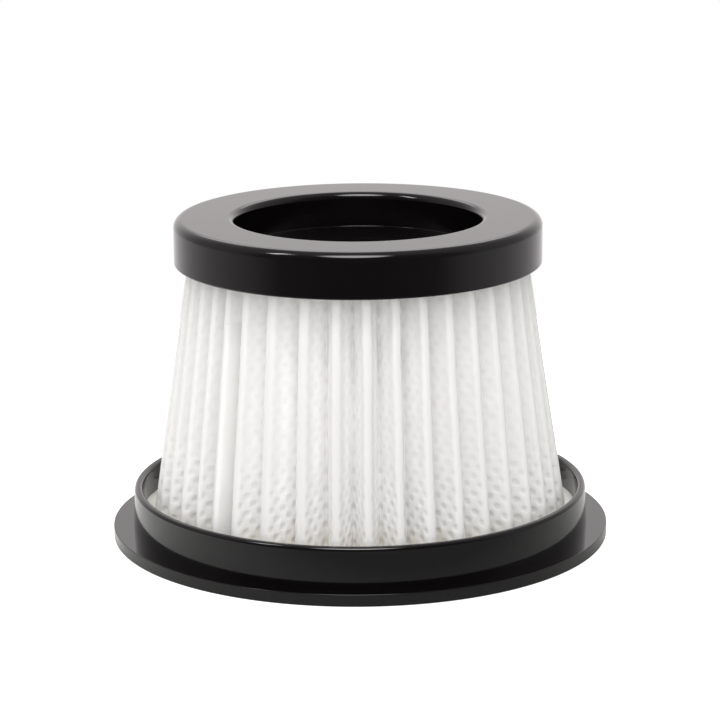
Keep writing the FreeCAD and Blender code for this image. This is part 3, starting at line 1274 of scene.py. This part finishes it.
@dataclass
class Studio:
    """Pale floor, white surroundings with an open front, soft lamps and the camera.

    Levels are shares of white. The low and high levels run from the front to the back, below and above the
    horizon, as the gloss of the mouldings mirrors them.
    """

    camera_mm: tuple[float, float, float] = (0.208, -547.504, 171.206)
    pitch_deg: float = 14.019
    roll_deg: float = -0.428
    lens_mm: float = 143.2165
    sensor_mm: float = 36.0
    clip_start: float = 0.01
    floor_colour: str = "#EBEBE9"
    # Painted shade: the floor greys toward the front and the right, as the gloss of the mouldings mirrors it
    floor_front_painted_shade_colour: str = "#7C7C7A"
    floor_fall: tuple[float, float] = (-0.068, 0.015)
    floor_lean: tuple[float, float, float] = (-0.36, 0.93, 0.0)
    floor_radius: float = 0.19
    floor_segments: int = 128
    floor_gap: float = 0.00003
    floor_glow: float = 0.85
    floor_glow_glossy: float = 0.02
    ambient: float = 0.63
    overhead: float = 0.82
    overhead_edge: tuple[float, float] = (0.5, 1.0)
    fill: float = 1.42
    fill_way: tuple[float, float, float] = (0.0, -1.0, 0.05)
    fill_edge: tuple[float, float] = (0.5, 1.0)
    tint: tuple[float, float, float] = (1.03, 0.985, 0.99)
    low_levels: tuple[tuple[float, float], ...] = (
        (0.02, 0.055), (0.18, 0.12), (0.34, 0.42), (0.5, 0.56), (0.81, 0.79), (0.94, 1.0))
    high_levels: tuple[tuple[float, float], ...] = (
        (0.05, 0.06), (0.26, 0.14), (0.42, 0.4), (0.74, 0.48), (0.84, 0.66), (0.96, 1.05))
    horizon: tuple[float, float] = (-0.16, -0.02)
    diffuser: float = 8.0
    diffuser_way: tuple[float, float, float] = (-0.03, -0.468, 0.883)
    diffuser_edge: tuple[float, float] = (0.951, 0.982)
    aim: tuple[float, float, float] = (0.0, 0.0, 0.03)
    lamps: tuple[SoftBox, ...] = (
        SoftBox("key_front", 3.0, 69.0, 0.75, 0.33, 0.17, 9.0, mirrored=False),
        SoftBox("strip_left", -65.0, 52.0, 0.75, 0.07, 0.2, 14.0),
        SoftBox("back_top", 180.0, 38.0, 0.9, 0.6, 0.3, 1.4),
    )

    def build_camera(self) -> None:
        """Stand the camera where the photograph was taken from."""
        data = bpy.data.cameras.new("camera")
        data.lens = self.lens_mm
        data.sensor_width = self.sensor_mm
        data.sensor_fit = "HORIZONTAL"
        data.clip_start = self.clip_start
        camera = bpy.data.objects.new("camera", data)
        bpy.context.scene.collection.objects.link(camera)
        tilt = Matrix.Rotation(math.radians(90 - self.pitch_deg), 4, "X")
        roll = Matrix.Rotation(math.radians(self.roll_deg), 4, "Z")
        camera.matrix_world = Matrix.Translation(Vector(self.camera_mm) * MM) @ tilt @ roll
        bpy.context.scene.camera = camera

    def floor_material(self) -> bpy.types.Material:
        """Pale matt paper, with painted shade that greys it toward the front and the right, that the camera
        sees as white where the lamps reach it.

        Returns:
            The material.
        """
        material, tree = new_material("pale_backdrop_paper")
        path = add_node(tree, "ShaderNodeLightPath")
        along = add_node(tree, "ShaderNodeVectorMath",
                         {0: add_node(tree, "ShaderNodeTexCoord").outputs["Object"], 1: self.floor_lean},
                         operation="DOT_PRODUCT")
        # Painted shade: share of the paler paper, rising from the front and right toward the back and left
        far = add_node(tree, "ShaderNodeMapRange",
                       {"Value": along.outputs["Value"],
                        "From Min": self.floor_fall[0], "From Max": self.floor_fall[1]})
        shade = add_node(tree, "ShaderNodeMix",
                         {0: far.outputs[0], 6: linear(self.floor_front_painted_shade_colour),
                          7: linear(self.floor_colour)}, data_type="RGBA")
        paper = add_node(tree, "ShaderNodeBsdfDiffuse", {"Color": shade.outputs[2]})
        seen = add_node(tree, "ShaderNodeMath",
                        {0: path.outputs["Is Camera Ray"], 1: path.outputs["Is Transmission Ray"]},
                        operation="ADD")
        glow = add_node(tree, "ShaderNodeMath", {0: seen.outputs[0], 1: self.floor_glow},
                        operation="MULTIPLY")
        both = add_node(tree, "ShaderNodeMath",
                        {0: path.outputs["Is Glossy Ray"], 1: self.floor_glow_glossy, 2: glow.outputs[0]},
                        operation="MULTIPLY_ADD")
        white = add_node(tree, "ShaderNodeEmission", {"Strength": both.outputs[0]})
        total = add_node(tree, "ShaderNodeAddShader", {0: paper.outputs[0], 1: white.outputs[0]})
        # Open from below, so that the underside of the cartridge can be looked at
        below = add_node(tree, "ShaderNodeNewGeometry").outputs["Backfacing"]
        clear = add_node(tree, "ShaderNodeBsdfTransparent")
        sided = add_node(tree, "ShaderNodeMixShader", {0: below, 1: total.outputs[0], 2: clear.outputs[0]})
        add_node(tree, "ShaderNodeOutputMaterial", {"Surface": sided.outputs[0]})
        return material

    def build_floor(self) -> None:
        """Lay the floor: a round table top, so that the cap mirrors the surroundings past its edge."""
        turns = [2 * math.pi * i / self.floor_segments for i in range(self.floor_segments)]
        rim = [(self.floor_radius * math.cos(t), self.floor_radius * math.sin(t), -self.floor_gap)
               for t in turns]
        mesh = bpy.data.meshes.new("floor")
        mesh.from_pydata(rim, [], [tuple(range(self.floor_segments))])
        new_piece("floor", mesh, self.floor_material())

    def build_world(self) -> None:
        """White surroundings, open and dim toward the front, as a black gloss moulding mirrors them."""
        world = bpy.data.worlds.new("studio")
        world.use_nodes = True
        tree = world.node_tree
        tree.nodes.clear()
        toward = add_node(tree, "ShaderNodeTexCoord").outputs["Generated"]
        way = add_node(tree, "ShaderNodeSeparateXYZ", {0: toward})
        share = add_node(tree, "ShaderNodeMapRange",
                         {"Value": way.outputs[1], "From Min": -1.0, "From Max": 1.0})
        ramps = []
        for levels in (self.low_levels, self.high_levels):
            ramp = add_node(tree, "ShaderNodeValToRGB", {0: share.outputs[0]})
            # A new ramp has two stops already
            for i, (place, level) in enumerate(levels):
                stop = ramp.color_ramp.elements[i] if i < 2 else ramp.color_ramp.elements.new(place)
                stop.position = place
                stop.color = (*(level * part for part in self.tint), 1.0)
            ramps.append(ramp.outputs[0])
        above = add_node(tree, "ShaderNodeMapRange",
                         {"Value": way.outputs[2],
                          "From Min": self.horizon[0], "From Max": self.horizon[1]})
        walls = add_node(tree, "ShaderNodeMix", {0: above.outputs[0], 6: ramps[0], 7: ramps[1]},
                         data_type="RGBA")
        # Diffuser of the key lamp, as the gloss of the mouldings mirrors it
        near = add_node(tree, "ShaderNodeVectorMath", {0: toward, 1: self.diffuser_way},
                        operation="DOT_PRODUCT")
        patch = add_node(tree, "ShaderNodeMapRange",
                         {"Value": near.outputs["Value"],
                          "From Min": self.diffuser_edge[0], "From Max": self.diffuser_edge[1]},
                         interpolation_type="SMOOTHSTEP")
        seen = add_node(tree, "ShaderNodeMix",
                        {0: patch.outputs[0], 6: walls.outputs[2],
                         7: (self.diffuser, self.diffuser, self.diffuser, 1.0)}, data_type="RGBA")
        # Even light with more from the front and from above, as the matt surfaces gather it
        facing = add_node(tree, "ShaderNodeVectorMath", {0: toward, 1: self.fill_way},
                          operation="DOT_PRODUCT")
        soft = add_node(tree, "ShaderNodeMapRange",
                        {"Value": facing.outputs["Value"],
                         "From Min": self.fill_edge[0], "From Max": self.fill_edge[1],
                         "To Min": self.ambient, "To Max": self.ambient + self.fill})
        high = add_node(tree, "ShaderNodeMapRange",
                        {"Value": way.outputs[2],
                         "From Min": self.overhead_edge[0], "From Max": self.overhead_edge[1],
                         "To Max": self.overhead})
        even = add_node(tree, "ShaderNodeMath", {0: soft.outputs[0], 1: high.outputs[0]}, operation="ADD")
        path = add_node(tree, "ShaderNodeLightPath")
        mirrored = add_node(tree, "ShaderNodeMath",
                            {0: path.outputs["Is Glossy Ray"], 1: path.outputs["Is Transmission Ray"]},
                            operation="ADD")
        light = add_node(tree, "ShaderNodeMix",
                         {0: mirrored.outputs[0], 6: even.outputs[0], 7: seen.outputs[2]},
                         data_type="RGBA")
        around = add_node(tree, "ShaderNodeBackground", {"Color": light.outputs[2], "Strength": 1.0})
        backdrop = add_node(tree, "ShaderNodeBackground", {"Color": (1, 1, 1, 1), "Strength": 1.0})
        mixed = add_node(tree, "ShaderNodeMixShader",
                         {0: path.outputs["Is Camera Ray"], 1: around.outputs[0], 2: backdrop.outputs[0]})
        add_node(tree, "ShaderNodeOutputWorld", {"Surface": mixed.outputs[0]})
        bpy.context.scene.world = world

    def build(self) -> None:
        """Set up the floor, the surroundings, the lamps, the camera and the view."""
        self.build_floor()
        self.build_world()
        for lamp in self.lamps:
            lamp.build(Vector(self.aim))
        self.build_camera()
        bpy.context.scene.view_settings.view_transform = "Standard"


def main() -> None:
    """Build the cartridge and its studio round the frame, and report each piece."""
    logging.basicConfig(level=logging.INFO, format="%(name)s: %(message)s")
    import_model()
    plastic = MouldedPlastic().make()
    cloth = EmbossedNonwoven().make()
    adhesive = SetHotMelt().make()
    film = SetHotMelt(name="hot_melt_film", colour="#F7F6F4", deep_colour="#F1F0EC").make()
    cap, ring, rule = EndCap.from_frame(), BaseRing.from_frame(), FoldRule.from_frame()
    base_bed = AdhesiveBed.between("base_bed", Node.BASE_POTTING, ring.collar_radius, faces_up=True)
    pot_radius = cap.recess_radius + cap.pot_wall
    cap_bed = AdhesiveBed.between("cap_bed", Node.CAP_POTTING, pot_radius, faces_up=False)
    work = (
        (ring, plastic),
        (base_bed, adhesive),
        (PleatedMedia(rule), cloth),
        (SeamBand.from_frame(rule), film),
        (cap_bed, adhesive),
        (cap, plastic),
    )
    for assembly, finish in work:
        piece = assembly.build(finish)
        piece.data.calc_loop_triangles()
        LOG.info("%s: %d triangles", piece.name, len(piece.data.loop_triangles))
    Studio().build()


if __name__ == "__main__":
    main()
